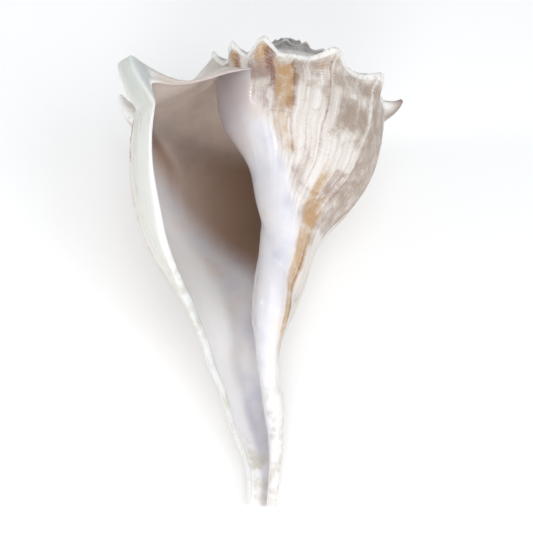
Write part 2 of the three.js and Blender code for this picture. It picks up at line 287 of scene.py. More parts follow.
# %% Radius, columella and canal
# A waist narrows the side of the older part, and the canal's wall swings open with azimuth.
WAIST_STATION, WAIST_WIDTH = 12.3, 2.0
WAIST_FROM, WAIST_TO = 130.0, 260.0
slim = add(growth_tree, MATH, {0: station, 1: WAIST_STATION}, operation="SUBTRACT")
slim = add(growth_tree, MATH, {0: slim, 1: WAIST_WIDTH}, operation="DIVIDE")
slim = add(growth_tree, MATH, {0: slim, 1: slim}, operation="MULTIPLY")
slim = add(growth_tree, MATH, {0: math.exp(-1.0), 1: slim}, operation="POWER")
older = add(growth_tree, "ShaderNodeMapRange", {0: azimuth, 1: WAIST_FROM, 2: WAIST_TO, 3: 1.0, 4: 0.0},
            interpolation_type="SMOOTHSTEP")
slim = add(growth_tree, MATH, {0: slim, 1: older}, operation="MULTIPLY")
slim = add(growth_tree, MATH, {0: slim, 1: size_in["Waist"]}, operation="MULTIPLY")
keep = add(growth_tree, MATH, {0: 1.0, 1: slim}, operation="SUBTRACT")
taper = add(growth_tree, MATH, {0: 1.0, 1: tail}, operation="SUBTRACT")
keep = add(growth_tree, MATH, {0: keep, 1: taper}, operation="MULTIPLY")
keep = add(growth_tree, MATH, {0: keep, 1: RADIUS_TOP}, operation="MULTIPLY")
keep = add(growth_tree, MATH, {0: keep, 1: scale}, operation="MULTIPLY")
body = add(growth_tree, MATH, {0: unit_radius, 1: keep}, operation="MULTIPLY")

PILLAR_TOP, CANAL_TOP, SWAY_LOW, SWAY_SPAN = 10.0, 30.0, -2.0, 8.0
CANAL_SHUT, CANAL_OPEN = 120.0, 275.0
down = add(growth_tree, MATH, {0: depth, 1: SHELL_LENGTH}, operation="DIVIDE", use_clamp=True)
pillar = add(growth_tree, "ShaderNodeFloatCurve", {"Value": down},
             [(d / SHELL_LENGTH, r / PILLAR_TOP) for d, r in PILLAR_RADIUS])
pillar = add(growth_tree, MATH, {0: pillar, 1: PILLAR_TOP}, operation="MULTIPLY")
canal_wall = add(growth_tree, "ShaderNodeFloatCurve", {"Value": down},
                 [(d / SHELL_LENGTH, r / CANAL_TOP) for d, r in CANAL_WALL_RADIUS])
canal_wall = add(growth_tree, MATH, {0: canal_wall, 1: CANAL_TOP}, operation="MULTIPLY")
canal_wall = add(growth_tree, MATH, {0: canal_wall, 1: pillar}, operation="MAXIMUM")
opening = add(growth_tree, "ShaderNodeMapRange", {0: azimuth, 1: CANAL_SHUT, 2: CANAL_OPEN, 3: 0.0, 4: 1.0},
              interpolation_type="SMOOTHSTEP")
canal_room = add(growth_tree, MATH, {0: canal_wall, 1: pillar}, operation="SUBTRACT")
canal = add(growth_tree, MATH, {0: canal_room, 1: opening, 2: pillar}, operation="MULTIPLY_ADD")
radius = add(growth_tree, MATH, {0: body, 1: canal, 2: size_in["Blend radius"]}, operation="SMOOTH_MAX")
sway = add(growth_tree, "ShaderNodeFloatCurve", {"Value": down},
           [(d / SHELL_LENGTH, (s - SWAY_LOW) / SWAY_SPAN) for d, s in AXIS_SWAY])
sway = add(growth_tree, MATH, {0: sway, 1: SWAY_SPAN, 2: SWAY_LOW}, operation="MULTIPLY_ADD")
print("nodes so far:", len(growth_tree.nodes))

# %% Spines: the nearest one behind and the nearest one ahead of each point
# A spine is a cone with swollen sides. It leaves the shoulder SPINE_DIP degrees below its listed
# lift and curls up by CURL_LIFT degrees towards its tip.
CURL_LIFT, SPINE_DIP, SPINE_SWELL, CONE_POWER = 22.0, 12.0, 0.9, 2.0
out, up = radius, depth
for which in ("spine_behind", "spine_ahead"):
    spine = add(growth_tree, "GeometryNodeInputNamedAttribute", {"Name": which}, data_type="FLOAT_VECTOR")
    spine = add(growth_tree, "ShaderNodeSeparateXYZ", {0: spine})
    beside = add(growth_tree, MATH, {0: station, 1: SHOULDER}, operation="SUBTRACT")
    below = add(growth_tree, MATH, {0: beside, 1: spine_below}, operation="DIVIDE")
    above = add(growth_tree, MATH, {0: beside, 1: size_in["Spine above"]}, operation="DIVIDE")
    above = add(growth_tree, MATH, {0: above, 1: -1.0}, operation="MULTIPLY")
    off_crest = add(growth_tree, MATH, {0: below, 1: above}, operation="MAXIMUM")
    off_crest = add(growth_tree, MATH, {0: off_crest, 1: off_crest}, operation="MULTIPLY")
    away = add(growth_tree, MATH, {0: spine.outputs[0], 1: spine.outputs[0], 2: off_crest},
               operation="MULTIPLY_ADD")
    away = add(growth_tree, MATH, {0: away}, operation="SQRT", use_clamp=True)
    near = add(growth_tree, MATH, {0: 1.0, 1: away}, operation="SUBTRACT")
    near = add(growth_tree, MATH, {0: near, 1: CONE_POWER}, operation="POWER")
    fuller = add(growth_tree, MATH, {0: away, 1: SPINE_SWELL, 2: 1.0}, operation="MULTIPLY_ADD")
    height = add(growth_tree, MATH, {0: near, 1: fuller}, operation="MULTIPLY")
    height = add(growth_tree, MATH, {0: height, 1: spine_blunt}, operation="MINIMUM")
    curl = add(growth_tree, MATH, {0: height, 1: CURL_LIFT, 2: -SPINE_DIP}, operation="MULTIPLY_ADD")
    lift = add(growth_tree, MATH, {0: spine.outputs[2], 1: curl}, operation="ADD")
    lift = add(growth_tree, MATH, {0: lift}, operation="RADIANS")
    push = add(growth_tree, MATH, {0: height, 1: spine.outputs[1]}, operation="MULTIPLY")
    push = add(growth_tree, MATH, {0: push, 1: size_in["Spine size"]}, operation="MULTIPLY")
    cosine = add(growth_tree, MATH, {0: lift}, operation="COSINE")
    sine = add(growth_tree, MATH, {0: lift}, operation="SINE")
    sink = add(growth_tree, MATH, {0: push, 1: -1.0}, operation="MULTIPLY")
    out = add(growth_tree, MATH, {0: push, 1: cosine, 2: out}, operation="MULTIPLY_ADD")
    up = add(growth_tree, MATH, {0: sink, 1: sine, 2: up}, operation="MULTIPLY_ADD")
print("nodes so far:", len(growth_tree.nodes))

# %% Placing the points
angle = add(growth_tree, MATH, {0: azimuth}, operation="RADIANS")
cosine = add(growth_tree, MATH, {0: angle}, operation="COSINE")
sine = add(growth_tree, MATH, {0: angle}, operation="SINE")
x = add(growth_tree, MATH, {0: out, 1: sine, 2: sway}, operation="MULTIPLY_ADD")
y = add(growth_tree, MATH, {0: up, 1: -1.0}, operation="MULTIPLY")
z = add(growth_tree, MATH, {0: out, 1: cosine}, operation="MULTIPLY")
place = add(growth_tree, "ShaderNodeCombineXYZ", {0: x, 1: y, 2: z})
grown = add(growth_tree, "GeometryNodeSetPosition", {"Geometry": size_in["Geometry"], "Position": place})
normal = add(growth_tree, "GeometryNodeInputNormal")
offset = add(growth_tree, "ShaderNodeVectorMath", {0: normal, "Scale": relief}, operation="SCALE")
grown = add(growth_tree, "GeometryNodeSetPosition", {"Geometry": grown, "Offset": offset})
grown = add(growth_tree, "GeometryNodeRealizeInstances", {"Geometry": grown})
grown = add(growth_tree, "GeometryNodeSetMaterial", {"Geometry": grown, "Material": size_in["Material"]})
add(growth_tree, "NodeGroupOutput", {0: grown})
print("growth rule:", len(growth_tree.nodes), "nodes")

# %% [markdown]
# ## Rows, columns and the leaning lip
# The grid has one row for every step of growth and one column for every line that runs along
# the whorls. A row isn't a straight cut: the lip leans ahead at the suture and falls behind
# down the canal, so every growth line has the shape of the lip. The last row is the lip.
# Columns lie closer together where the shoulder bends sharply and at the end of the canal.

# %% The grid
TURNS, ROWS_PER_TURN, CAVITY_ROWS = 3.4, 240, 192
LIP_AZIMUTH, SUTURE_LAG = 311.0, 24.0
LIP_LEAN = [
    (0, SUTURE_LAG), (1, 15), (2.2, 7), (4, 0), (8, 0), (10, -3), (11.5, -10), (13, -20),
    (14.5, -28), (17, -32), (18, -32),
]
BEND_FROM, BEND_TO = 3.4, 6.4
columns = np.concatenate([
    np.linspace(0, BEND_FROM, 14, endpoint=False), np.linspace(BEND_FROM, SUTURE, 11),
    np.linspace(SUTURE, BEND_TO, 14)[1:], np.linspace(BEND_TO, FOOT, 56)[1:],
    np.linspace(FOOT, END, 13)[1:],
])
suture_column = int(np.argmin(abs(columns - SUTURE)))
inner_column, last_column = suture_column + 1, len(columns) - 1
row_step = 360.0 / ROWS_PER_TURN
lip_row = round(TURNS * ROWS_PER_TURN)
turn_back = ROWS_PER_TURN - round(SUTURE_LAG / row_step)
front_row = lip_row - turn_back
deep_row = lip_row - CAVITY_ROWS
cavity_start = deep_row - ROWS_PER_TURN
lean = follow(LIP_LEAN, columns)
lean[suture_column] = 0.0


def azimuths(rows):
    """The azimuth, in degrees, of every point of the given rows."""
    return LIP_AZIMUTH - (lip_row - np.asarray(rows))[:, None] * row_step + lean[None, :]


def ease(x, start, stop):
    """A soft step from 0 at start to 1 at stop."""
    u = np.clip((np.asarray(x, float) - start) / (stop - start), 0, 1)
    return u * u * (3 - 2 * u)


print(len(columns), "columns,", lip_row + 1, "rows, front row", front_row)

# %% The suture's last drop
# The last part of the suture runs down the side of the whorl before: by so many stations,
# and the ramp above the opening sags with it by so many millimetres.
SUTURE_DROP, RAMP_SAG, DROP_ROWS = 1.5, 4.6, 30
DROP_REACH, SAG_REACH = 4, 3.6


def stations(rows):
    """The station on the profile of every point of the given rows."""
    rows = np.asarray(rows)
    drop = ease(rows, front_row - DROP_ROWS, front_row)
    drop = drop * (1 - ease(rows, front_row, front_row + DROP_ROWS))
    above, below = (columns / SUTURE) ** 2, np.clip(1 - (columns - SUTURE) / DROP_REACH, 0, 1)
    share = np.where(columns < SUTURE, above, below)
    return columns[None, :] + SUTURE_DROP * drop[:, None] * share[None, :]


def ramp_sag(rows):
    """How far the ramp sags just behind the lip, in millimetres."""
    late = ease(rows, lip_row - DROP_ROWS, lip_row)[:, None]
    return RAMP_SAG * late * np.clip(1 - columns / SAG_REACH, 0, 1)


def growth(at):
    """The size of the shell at an azimuth, with 1 at the azimuth of the profile."""
    return GROWTH_PER_TURN ** ((np.asarray(at) - PROFILE_AZIMUTH) / 360.0)


print("one turn before the lip the shell had", round(float(growth(LIP_AZIMUTH - 360)), 2), "of its size")

# %% [markdown]
# ## Spines on the shoulder
# Every so often the snail folds the lip outward and leaves a spine on the shoulder. No two are
# alike, so each one on the last turn is listed with its azimuth, its length in millimetres, its
# lift, its reach back and forward in degrees, its reach down the side in stations, and how far
# along its tip is cut off blunt. The spire repeats smaller ones, and the oldest are worn down.

# %% The spines
BODY_REACH, SPIRE_REACH = (17, 13), (12, 10)
BODY_BLUNT = 0.92
LIP_SPINE = (307, 20, 32, 20, 18, 1.0, 0.74)
BODY_SPINES = [
    (at, long, lift, *BODY_REACH, below, BODY_BLUNT) for at, long, lift, below in (
        (258, 22, 36, 1.6), (232, 8, 30, 2.6), (205, 12.4, 5, 2.6), (168, 16.4, 5, 2.6),
        (134, 8, 30, 2.6), (101, 12, 28, 1.1), (64, 5.5, 40, 2.2), (28, 6, 45, 2.4), (-16, 6.8, 50, 2.6),
    )
]
SPIRE_LONG, SPIRE_LIFT, SPIRE_BELOW = 12.5, 48, 1.6
WEAR_FROM, WEAR_TO, WORN_SHORT, WORN_BLUNT = 150, 300, 0.38, 0.1
SPIRE_SPINES = []
for at in range(-40, -1120, -27):
    worn = float(ease(-at, WEAR_FROM, WEAR_TO))
    long = SPIRE_LONG * float(growth(at)) * (1 - WORN_SHORT * worn)
    SPIRE_SPINES.append((at, long, SPIRE_LIFT, *SPIRE_REACH, SPIRE_BELOW, 1 - WORN_BLUNT * worn))
ALL_SPINES = sorted([LIP_SPINE] + BODY_SPINES + SPIRE_SPINES)


def spine_values(at, spines):
    """For every azimuth: how far off, how long and how lifted the spines behind and ahead are."""
    far, none = 9999, (0, 0, 1, 1, 1, 1)
    table = np.array([(-far, *none)] + sorted(spines) + [(far, *none)], float)
    k = np.clip(np.searchsorted(table[:, 0], at) - 1, 0, len(table) - 2)
    behind, ahead = table[k], table[k + 1]
    past = (at - behind[..., 0]) / behind[..., 4]
    before = (ahead[..., 0] - at) / ahead[..., 3]
    below, blunt = (np.where(past < before, behind[..., part], ahead[..., part]) for part in (5, 6))
    one = np.stack([past, behind[..., 1], behind[..., 2]], -1)
    two = np.stack([before, ahead[..., 1], ahead[..., 2]], -1)
    return one, two, below, blunt


print(len(ALL_SPINES), "spines")


# %% Running the tree on a grid
def grow(name, rows, end_depth_at, spines, relief_at):
    """Runs the growth rule on the given rows and returns the points as rows x columns x 3, in mm."""
    at = azimuths(rows)
    shape = at.shape
    index = np.arange(at.size).reshape(shape)
    quads = np.stack([index[:-1, :-1], index[:-1, 1:], index[1:, 1:], index[1:, :-1]], -1)
    mesh = bpy.data.meshes.new(name)
    mesh.from_pydata(np.zeros((at.size, 3)), [], quads.reshape(-1, 4).tolist())
    behind, ahead, below, blunt = spine_values(at, spines)
    floats = {
        "azimuth": at, "station": stations(rows), "spine_below": below, "spine_blunt": blunt,
        "end_depth": np.broadcast_to(end_depth_at, shape), "relief": np.broadcast_to(relief_at, shape),
    }
    for key, value in floats.items():
        attribute = mesh.attributes.new(key, "FLOAT", "POINT")
        attribute.data.foreach_set("value", value.astype(np.float32).ravel())
    for key, value in (("spine_behind", behind), ("spine_ahead", ahead)):
        attribute = mesh.attributes.new(key, "FLOAT_VECTOR", "POINT")
        attribute.data.foreach_set("vector", value.astype(np.float32).ravel())
    sheet = bpy.data.objects.new(name, mesh)
    bpy.context.collection.objects.link(sheet)
    modifier = sheet.modifiers.new("growth", "NODES")
    modifier.node_group = growth_tree
    given = {**SIZES, "Material": lime}
    for item in growth_tree.interface.items_tree:
        if item.in_out == "INPUT" and item.name in given:
            modifier[item.identifier] = given[item.name]
    evaluated = sheet.evaluated_get(bpy.context.evaluated_depsgraph_get())
    plain = bpy.data.meshes.new_from_object(evaluated)
    points = np.empty(at.size * 3, np.float32)
    plain.vertices.foreach_get("co", points)
    bpy.data.objects.remove(sheet)
    bpy.data.meshes.remove(mesh)
    bpy.data.meshes.remove(plain)
    points = points.reshape(*shape, 3).astype(float)
    points[..., 1] -= ramp_sag(rows)
    return points


print("the tree takes", len(SIZES), "sizes and a material")

# %% [markdown]
# ## Ridges, growth rests and the worn keel
# Under each spine a ridge runs down the side, and just ahead of it the snail rested: the old
# edge stands a little proud of what grew next. The shoulder itself is a sharp keel, chipped by
# the surf. A bump map could hint at all this, but the outline would stay smooth, so these
# heights, in millimetres, go into the tree as relief along the normal.


# %% Random waves and growth lines
def ripple(x, seed):
    """A smooth random wave along one number, between -1 and 1, from a fixed seed."""
    count = 4096
    values = np.random.default_rng(seed).uniform(-1, 1, count)
    k = np.floor(x).astype(int)
    u = x - k
    u = u * u * (3 - 2 * u)
    return values[k % count] * (1 - u) + values[(k + 1) % count] * u


LINE_BEND, LINE_WOBBLE, LINE_JITTER = 4, 1.1, 0.35


def growth_line(at, st):
    """Azimuth measured along the growth lines of the side, which bend a little and wobble."""
    bent = at - LINE_BEND * ease(st, 8.5, 11)
    return bent + LINE_WOBBLE * ripple(st * 0.9, 11) + LINE_JITTER * ripple(st * 4, 12)


RESTS = [-8.5, 5, 27, 61.5, 97, 118, 130, 149, 164, 184, 202, 217, 230, 243, 255, 270, 284, 297]
REST_AHEAD = 4
RESTS += [at + REST_AHEAD for at, *_ in SPIRE_SPINES]
print(len(RESTS), "growth rests")

# %% Relief of the outer face
REST_PROUD, REST_SUNK, RIDGE_HIGH, KEEL_HIGH, WAVE_HIGH = 0.5, 0.3, 0.5, 0.9, 0.12
REST_RISE, REST_FALL, RIDGE_WIDE, FULL_SPINE = 3, 6, 3.5, 6
KEEL_OFFSET, KEEL_WIDE = 0.06, 0.3
FULL_RELIEF = 1.5


def outer_relief(rows):
    """How far every point of the outer face stands out, in millimetres."""
    at, st = azimuths(rows), stations(rows)
    line = growth_line(at, st)
    side = ease(st, 3.9, 5.0) * (1 - ease(st, 9, 13))
    high = np.zeros(at.shape)
    for rest in RESTS:
        past = line - rest
        old_edge = REST_PROUD * np.exp(np.minimum(past, 0) / REST_RISE)
        new_growth = -REST_SUNK * np.exp(-np.maximum(past, 0) / REST_FALL)
        high += np.where(past < 0, old_edge, new_growth) * side
    for spine_at, long, *_ in ALL_SPINES:
        ridge = np.exp(-((line - spine_at) / RIDGE_WIDE) ** 2)
        high += RIDGE_HIGH * ridge * side * min(1.0, long / FULL_SPINE)
    keel = np.exp(-((st - SHOULDER - KEEL_OFFSET) / KEEL_WIDE) ** 2)
    chipped = 0.75 + 0.35 * ripple(at / 1.7, 3) + 0.25 * ripple(at / 4.1, 4)
    high += KEEL_HIGH * keel * chipped
    high += WAVE_HIGH * ripple(at / 2.3, 5) * ease(st, 0.3, 2) * (1 - ease(st, 10, 15))
    return high * np.minimum(1, FULL_RELIEF * growth(at))


all_rows = np.arange(lip_row + 1)
relief_high = outer_relief(all_rows)
print("relief from", round(float(relief_high.min()), 2), "to", round(float(relief_high.max()), 2), "mm")

# %% [markdown]
# ## The wall and its three sheets
# The tree runs three times. The outer face is the whole spiral, with its spines and relief. The
# covered face is the whorl before, where the last turn grew over it: smooth, and ending on the
# floor of the cavity. The inner face is the last turn again, moved inwards by the thickness of
# the wall. That is thin on the ramp, where the lip is still growing, and fuller down the side.
# A Solidify modifier would give one thickness all over and fold where the columella is tight.

# %% The three sheets
CAVITY_FLOOR = [
    (-420, 30), (-180, 53), (-90, 66), (0, 81), (60, 92), (120, 104), (140, 113), (160, 126),
    (180, 147), (200, 172), (206, 180),
]
WALL_THICKNESS = [(0, 1.2), (30, 2.6), (110, 2.8), (140, 2), (180, 1.5)]
LIP_THIN, LIP_FULLER, LIP_LESS, LIP_BEHIND = 0.4, 0.55, 0.3, 24
FULL_WALL = 1.6
covered_rows = np.arange(cavity_start, front_row)
inner_rows = np.arange(deep_row, lip_row + 1)
inner_at, inner_st = azimuths(inner_rows), stations(inner_rows)
outer = grow("outer face", all_rows, SHELL_LENGTH, ALL_SPINES, relief_high)
covered_floor = follow(CAVITY_FLOOR, azimuths(covered_rows) + 360)
covered = grow("covered face", covered_rows, covered_floor, [], 0.0)

behind_lip = (lip_row - inner_rows) * row_step
thick_lip = LIP_THIN + LIP_FULLER * ease(columns, 7, 9) * (1 - LIP_LESS * ease(columns, 14, 16.5))
thinning = thick_lip + (1 - thick_lip) * ease(behind_lip, 0, LIP_BEHIND)[:, None]
inner_floor = follow(CAVITY_FLOOR, inner_at)
rough_depth = np.minimum(follow(depth_curve, columns)[None, :] * growth(inner_at), inner_floor)
wall = follow(WALL_THICKNESS, rough_depth) * thinning * np.minimum(1, FULL_WALL * growth(inner_at))
print("the wall is", round(float(wall.min()), 1), "to", round(float(wall.max()), 1), "mm thick")

# %% The fold inside the roof
# Inside, the roof ends in a low fold that starts at the lip and runs down into the cavity.
FOLD_AZIMUTH, FOLD_STATION, FOLD_SLOPE, FOLD_HIGH = 258, 4.7, 0.085, 0.8
LIP_SPINE_INSIDE = 0.3
under_fold = inner_st - (FOLD_STATION + (FOLD_AZIMUTH - inner_at) * FOLD_SLOPE)
fold_reach = ease(inner_at, 226, 252) * (1 - ease(inner_at, 262, 276))
fold = ease(under_fold, -0.5, 0.4) * (1 - ease(under_fold, 0.4, 3.2)) * fold_reach
wall -= FOLD_HIGH * fold
hollow_spine = (LIP_SPINE[0], LIP_SPINE[1] * LIP_SPINE_INSIDE, *LIP_SPINE[2:])
inner = grow("inner face", inner_rows, inner_floor, [hollow_spine], -wall)
print("outer", outer.shape, "covered", covered.shape, "inner", inner.shape)

# %% [markdown]
# ## Closing the sheets into one shell
# The ramp of each whorl sits on the whorl before it, so its top column is bent to meet that
# whorl. The inner face hangs from the whorl before at the top and closes on the columella at the
# bottom, until the canal opens. Then the lip joins inner and outer face, and the far end of the
# cavity, the apex and the cut end of the canal are capped. Points that two sheets share are one
# point, so the finished mesh is closed. A boolean of three sheets would need thick solids first
# and leave ragged seams, so the sheets are stitched by their row and column numbers instead.


# %% Bending the sheets to meet
def spread(gap, weight):
    """Shares the gap of every row out over the columns by a weight."""
    return gap[:, None, :] * weight[None, :, None]


RAMP_BENDS, ROOF_BENDS, FLOOR_BENDS = 2.5, 3, 4
PILLAR_GAP, CLOSING_ROWS = 0.4, 18
ramp_fade = (1 - np.clip(columns / RAMP_BENDS, 0, 1)) ** 2
for row in range(turn_back, lip_row + 1):
    outer[row] += (outer[row - turn_back, suture_column] - outer[row, 0]) * ramp_fade[:, None]
outer[cavity_start:front_row, inner_column:] = covered[:, inner_column:]

axis_x = follow(AXIS_SWAY, -inner[..., 1])
from_axis = np.hypot(inner[..., 0] - axis_x, inner[..., 2])
clear = np.maximum(1, (follow(PILLAR_RADIUS, -inner[..., 1]) + PILLAR_GAP) / from_axis)
inner[..., 0] = axis_x + (inner[..., 0] - axis_x) * clear
inner[..., 2] *= clear
top = outer[inner_rows - turn_back, inner_column]
bottom = outer[inner_rows - ROWS_PER_TURN, last_column]
open_row = int(np.argmax(inner_floor[:, last_column] >= SHELL_LENGTH)) + 1
inner += spread(top - inner[:, 0], (1 - np.clip(columns / ROOF_BENDS, 0, 1)) ** 2)
closing = 1 - ease(np.arange(len(inner_rows)), open_row - 1, open_row + CLOSING_ROWS)[:, None]
floor_fade = np.clip((columns - END + FLOOR_BENDS) / FLOOR_BENDS, 0, 1) ** 2
inner += spread((bottom - inner[:, -1]) * closing, floor_fade)
print("the canal opens", round(float(behind_lip[open_row])), "degrees behind the lip")

# %% Softening the inner face
# Inside, the lower rows are averaged with their neighbours until the wall flows into the gutter.
SOFTEN_STEPS, SOFTEN_RATE = 90, 0.5
soften = ease(columns, 9, 11)[None, :, None] * np.ones((len(inner_rows) - 2, 1, 1))
soften[:open_row - 1] *= (1 - ease(columns, 17.4, END))[None, :, None]
before_softening = inner.copy()
for _ in range(SOFTEN_STEPS):
    inner[1:-1] += soften * SOFTEN_RATE * ((inner[:-2] + inner[2:]) / 2 - inner[1:-1])
moved = np.linalg.norm(inner - before_softening, axis=-1)
print("softening moved the inner face by", round(float(moved.mean()), 2), "mm on average")

# %% The rounded edge of the lip
LIP_BANDS, LIP_ROUND, LIP_RUN = 4, 0.7, 3
forward = outer[-1] - outer[-1 - LIP_RUN]
forward /= np.linalg.norm(forward, axis=1, keepdims=True)
thick = np.linalg.norm(outer[-1] - inner[-1], axis=1, keepdims=True)
edge = []
for band in range(1, LIP_BANDS + 1):
    t = band / (LIP_BANDS + 1)
    bulge = np.minimum(thick * 0.5, LIP_ROUND) * math.sqrt(1 - (2 * t - 1) ** 2)
    edge.append(outer[-1] * (1 - t) + inner[-1] * t + forward * bulge)
edge = np.array(edge)
edge[:, -1, 1] = -SHELL_LENGTH
print("the lip is", round(float(np.median(thick)), 1), "mm thick in the middle")


# %% Points that two sheets share
def numbered(sheet, start):
    """A number for every point of a sheet, counted on from start."""
    rows, cols = sheet.shape[:2]
    return np.arange(start, start + rows * cols).reshape(rows, cols)


outer_id = numbered(outer, 0)
inner_id = numbered(inner, outer_id.size)
edge_id = numbered(edge, outer_id.size + inner_id.size)
spots = np.concatenate([outer.reshape(-1, 3), inner.reshape(-1, 3), edge.reshape(-1, 3)])
CAPS = 2
same = np.arange(len(spots) + CAPS)
for row in range(turn_back, lip_row + 1):
    same[outer_id[row, 0]] = same[outer_id[row - turn_back, suture_column]]
same[inner_id[:, 0]] = same[outer_id[inner_rows - turn_back, inner_column]]
same[inner_id[:open_row, -1]] = same[outer_id[inner_rows[:open_row] - ROWS_PER_TURN, last_column]]
print(int((same != np.arange(len(same))).sum()), "points are shared")


# %% Faces of the sheets
def strip(grid, rows, cols, flip=False):
    """The quads between the rows and columns of a numbered sheet."""
    block = grid[rows, cols]
    quads = np.stack([block[:-1, :-1], block[:-1, 1:], block[1:, 1:], block[1:, :-1]], -1)
    quads = quads.reshape(-1, 4)
    return quads[:, ::-1] if flip else quads


everything = slice(0, None)
lip_grid = np.vstack([outer_id[-1:], edge_id, inner_id[-1:]])
faces = np.concatenate([
    strip(outer_id, everything, slice(0, suture_column + 1)),
    strip(outer_id, slice(front_row, None), slice(suture_column, inner_column + 1)),
    strip(outer_id, slice(cavity_start, None), slice(inner_column, None)),
    strip(inner_id, everything, everything, flip=True),
    strip(lip_grid, everything, slice(1, None)),
]).tolist()
lip_corner = (outer_id[-1, 0], *lip_grid[:, 1], inner_id[-1, 0])
faces.append([int(k) for k in lip_corner])
print(len(faces), "faces on the sheets and the lip")

# %% Caps of the cavity and the apex
deep_loop = [*inner_id[0], *outer_id[cavity_start, inner_column:last_column][::-1],
             *outer_id[cavity_start + 1:deep_row - turn_back, inner_column]]
apex_loop = [*outer_id[:turn_back + 1, 0], *outer_id[0, 1:suture_column][::-1]]
for loop in (deep_loop, apex_loop):
    loop = [int(k) for k in loop]
    middle = len(spots)
    faces += [[a, b, middle] for a, b in zip(loop, loop[1:] + loop[:1])]
    spots = np.vstack([spots, spots[same[loop]].mean(0)])
print(len(faces), "faces with both caps")

# %% Cap of the canal's end
end_ring = [*outer_id[front_row:, -1], *edge_id[:, -1], *inner_id[open_row:, -1][::-1],
            *outer_id[open_row - 1 + deep_row - ROWS_PER_TURN:front_row, -1]]
ring_spots = [Vector((spots[same[k]][0], spots[same[k]][2], 0.0)) for k in end_ring]
turned = sum(a.x * b.y - b.x * a.y for a, b in zip(ring_spots, ring_spots[1:] + ring_spots[:1]))
for corner in tessellate_polygon([ring_spots]):
    a, b, c = (ring_spots[k] for k in corner)
    leaning = (b - a).cross(c - a).z
    order = corner if leaning * turned < 0 else corner[::-1]
    faces.append([int(end_ring[k]) for k in order])
print("ring of", len(end_ring), "points at the end of the canal")

# %% One closed mesh, laid down
SHARP_FROM = math.radians(60)
corner_of = np.concatenate([np.array(face, int) for face in faces])
used, corner_vertex = np.unique(same[corner_of], return_inverse=True)
laid = spots[used] @ LAY_DOWN.T + APEX_AT
laid[:, 2] = np.maximum(laid[:, 2], 0.0)
sides = np.array([len(face) for face in faces])
starts = np.concatenate([[0], np.cumsum(sides)[:-1]])

shell_mesh = bpy.data.meshes.new("shell")
shell_mesh.from_pydata(laid * MM, [], [corner_vertex[s:s + n].tolist() for s, n in zip(starts, sides)])
shell_mesh.polygons.foreach_set("use_smooth", [True] * len(shell_mesh.polygons))
shell = bpy.data.objects.new("whelk_shell", shell_mesh)
bpy.context.collection.objects.link(shell)
shell_mesh.set_sharp_from_angle(angle=SHARP_FROM)
edge_of_corner = np.empty(len(shell_mesh.loops), np.int32)
shell_mesh.loops.foreach_get("edge_index", edge_of_corner)
closed = bool((np.bincount(edge_of_corner) == 2).all())
print("shell:", len(laid), "points,", int((sides - 2).sum()), "triangles, closed:", closed)

# %% [markdown]
# ## Where the colours lie
# The snail paints while it builds, so the colours follow the growth lines and the spiral: tan and
# ochre panels between two rests, a thin brown line at each rest, white where the keel is worn, grey
# where the old spire has weathered. Where the soft body slid over the shell, from the opening round
# onto the columella, a clear glaze covers everything, white with a little lilac. Deep inside it is
# brown. Each of these is a number between 0 and 1 at every corner of the mesh, worked out from the
# azimuth and the station, and the material only mixes finishes by them. The numbers sit on the
# corners of the faces, because at the suture two whorls share a point but not a colour.


# %% Panels on the side that faces the viewer
def patch(line, st, along, across, soft=(1.6, 0.8)):
    """1 inside a range of growth lines and a range of stations, with soft edges."""
    inside = np.ones(line.shape)
    for place, (start, stop), blur in ((line, along, soft[0]), (st, across, soft[1])):
        inside = inside * ease(place, start - blur, start + blur)
        inside = inside * (1 - ease(place, stop - blur, stop + blur))
    return inside


# Each panel has a range of growth lines, a range of stations and an amount.
OCHRE = [
    ((-8.5, 5), (5.2, 8.4), 0.85), ((-3, 5), (7.2, 8.4), 1.0), ((3, 9), (9.9, 10.6), 0.8),
    ((36, 46), (10.3, 12.9), 0.8), ((-22, -11), (4.5, 6.1), 0.95), ((-8.5, 4), (8.6, 10.4), 0.6),
    ((20, 27), (5.2, 6.4), 0.4),
]
# Tan panels; the one from growth line 62 to 102 is painted shade along the right flank, greying it towards
# its outline.
TAN_AND_SHADE = [
    ((34, 60), (6.9, 8.7), 0.95), ((28, 60), (4.9, 6.6), 0.85), ((5, 27), (4.6, 7.4), 0.65),
    ((62, 102), (4.8, 12.5), 0.85), ((-8.5, 5), (4.8, 8.6), 0.7), ((30, 75), (11.5, 14), 0.6),
]
MAUVE = [
    ((46, 64), (10.3, 11.7), 0.9), ((-28, -8.5), (5.2, 7.2), 1.1), ((-26, -9), (6.6, 8.8), 0.55),
    ((8, 24), (10.6, 12.2), 0.6),
]
RUST = [
    ((-11.5, -8.3), (4.3, 7.4), 1.0), ((3.2, 5.3), (5, 8.4), 0.9), ((-18, -15), (4.4, 5.4), 0.6),
    ((5, 8), (9.9, 10.5), 0.7), ((44, 47), (10.6, 12.6), 0.5), ((-14, -9), (4.4, 6.6), 0.9),
    ((-1, 5), (7.6, 8.3), 0.6), ((26, 28), (4.6, 9.5), 0.6),
]
STREAKED_TO = -200
for at, *_ in SPIRE_SPINES:
    if at > STREAKED_TO:
        OCHRE.append(((at - 1, at + 7), (4.5, 6.2), 0.9))
        RUST.append(((at + 3, at + 6), (4.5, 6.0), 0.8))
print(len(OCHRE) + len(TAN_AND_SHADE) + len(MAUVE) + len(RUST), "panels in front")

